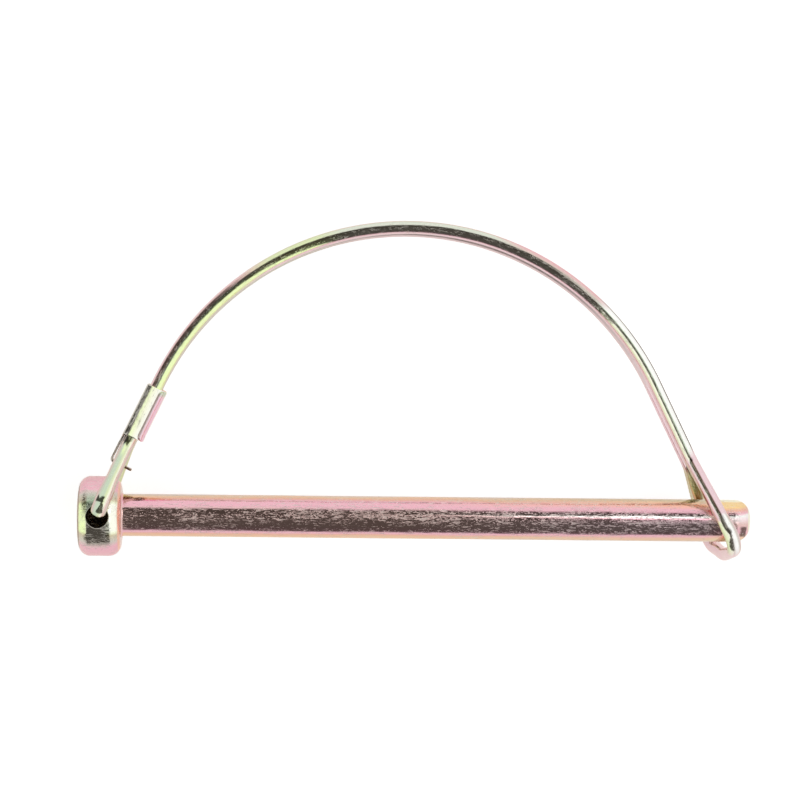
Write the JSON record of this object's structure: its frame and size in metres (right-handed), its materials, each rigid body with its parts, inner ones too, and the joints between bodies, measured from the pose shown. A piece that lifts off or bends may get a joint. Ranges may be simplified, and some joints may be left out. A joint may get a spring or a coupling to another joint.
{
  "type": "wire lock pin",
  "caption": "Headed steel pin with a hinged round-arched wire bail whose looped end closes over the pin's tip; a small sheet clip joins the bail's two runs.",
  "frame": {"origin": "centre of the shank at the shoulder under the head", "axes": "+X along the pin from the head to the tip, +Y from the pin towards the top of the arch, +Z along the bail's hinge, out of the side that faces up when the part lies flat"},
  "size_m": [0.1007, 0.0507, 0.0172],
  "materials": {
    "pin_plating": "yellow zinc plated, iridescent, lightly scratched",
    "wire_plating": "yellow zinc plated spring wire, glossy",
    "clip_plating": "yellow zinc plated sheet, satin"
  },
  "bodies": {
    "pin": {"pin": "pin_plating"},
    "bail": {"bail": "wire_plating", "clip": "clip_plating"}
  },
  "joints": [
    {"name": "bail_swing", "type": "hinge", "parent": "pin", "child": "bail", "pos_m": [-0.0033, 0, 0], "axis": [0, 0, 1], "range_deg": [0, 258]}
  ]
}
